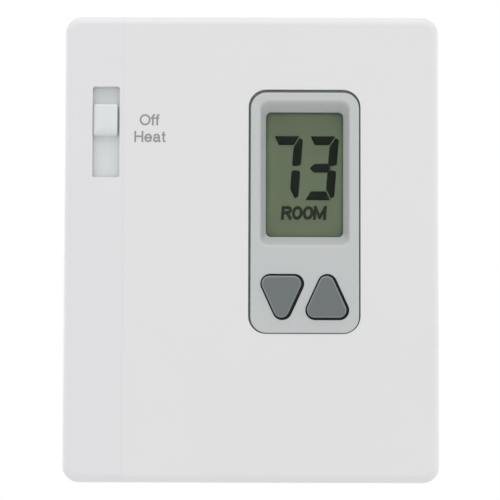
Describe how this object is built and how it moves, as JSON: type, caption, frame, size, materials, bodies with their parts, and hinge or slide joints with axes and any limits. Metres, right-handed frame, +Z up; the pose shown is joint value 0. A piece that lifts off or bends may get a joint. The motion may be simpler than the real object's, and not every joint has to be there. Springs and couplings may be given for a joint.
{
  "type": "wall thermostat",
  "caption": "Upright rectangular wall thermostat with a grey display bezel, triangular up and down buttons, a slide switch at the left edge, and a front that pulls off its wall plate.",
  "frame": {"origin": "centre of the wall plate's flat back face, on the wall", "axes": "+Z up the wall, +Y into the wall, so the face looks along -Y; +X to the viewer's right"},
  "size_m": [0.094, 0.029, 0.1168],
  "materials": {
    "cover_plastic": "fine satin",
    "bezel_plastic": "fine satin",
    "key_rubber": "satin",
    "clear_plastic": "polished",
    "lcd_glass": "polished",
    "film": "matt",
    "frame_plastic": "matt",
    "rubber": "matt",
    "board": "gloss",
    "black_mould": "matt",
    "tin": "tinned",
    "steel": "zinc plated",
    "aluminium": "satin",
    "brass": "bright",
    "blue_mould": "satin",
    "bead": "satin",
    "cell_jacket": "gloss"
  },
  "bodies": {
    "wall_plate": {"wall_plate": "cover_plastic", "terminal_block": "black_mould", "terminal_plates": "brass", "terminal_screws": "steel"},
    "system_switch": {"switch_knob": "cover_plastic", "slide_switch_lever": "black_mould", "slide_switch_contact": "brass"},
    "up_button": {"up_button": "key_rubber", "up_plunger": "black_mould"},
    "down_button": {"down_button": "key_rubber", "down_plunger": "black_mould"},
    "front_unit": {"front_cover": "cover_plastic", "switch_strip": "cover_plastic", "display_bezel": "bezel_plastic", "display_window": "clear_plastic", "lcd_front_glass": "lcd_glass", "lcd_rear_glass": "lcd_glass", "lcd_reflector": "film", "lcd_contact_strips": "rubber", "lcd_frame": "frame_plastic", "circuit_board": "board", "controller_chip": "black_mould", "clock_crystal": "steel", "heat_relay": "blue_mould", "capacitors": "aluminium", "resistors": "black_mould", "temperature_sensor": "bead", "plug_bar": "black_mould", "plug_pins": "brass", "back_cover": "cover_plastic", "case_screws": "steel", "left_cell": "cell_jacket", "right_cell": "cell_jacket", "cell_bridge": "tin", "cell_negative": "tin", "cell_positive": "tin", "slide_switch_base": "black_mould", "slide_switch_can": "steel", "up_switch_body": "black_mould", "down_switch_body": "black_mould"}
  },
  "joints": [
    {"name": "front_pull", "type": "slide", "parent": "wall_plate", "child": "front_unit", "axis": [0, -1, 0], "range_m": [0, 0.03]},
    {"name": "system_switch_slide", "type": "slide", "parent": "front_unit", "child": "system_switch", "axis": [0, 0, 1], "range_m": [-0.004, 0]},
    {"name": "up_press", "type": "slide", "parent": "front_unit", "child": "up_button", "axis": [0, 1, 0], "range_m": [0, 0.0005], "stiffness_N_per_m": 2000, "springref_m": -0.0002},
    {"name": "down_press", "type": "slide", "parent": "front_unit", "child": "down_button", "axis": [0, 1, 0], "range_m": [0, 0.0005], "stiffness_N_per_m": 2000, "springref_m": -0.0002}
  ]
}
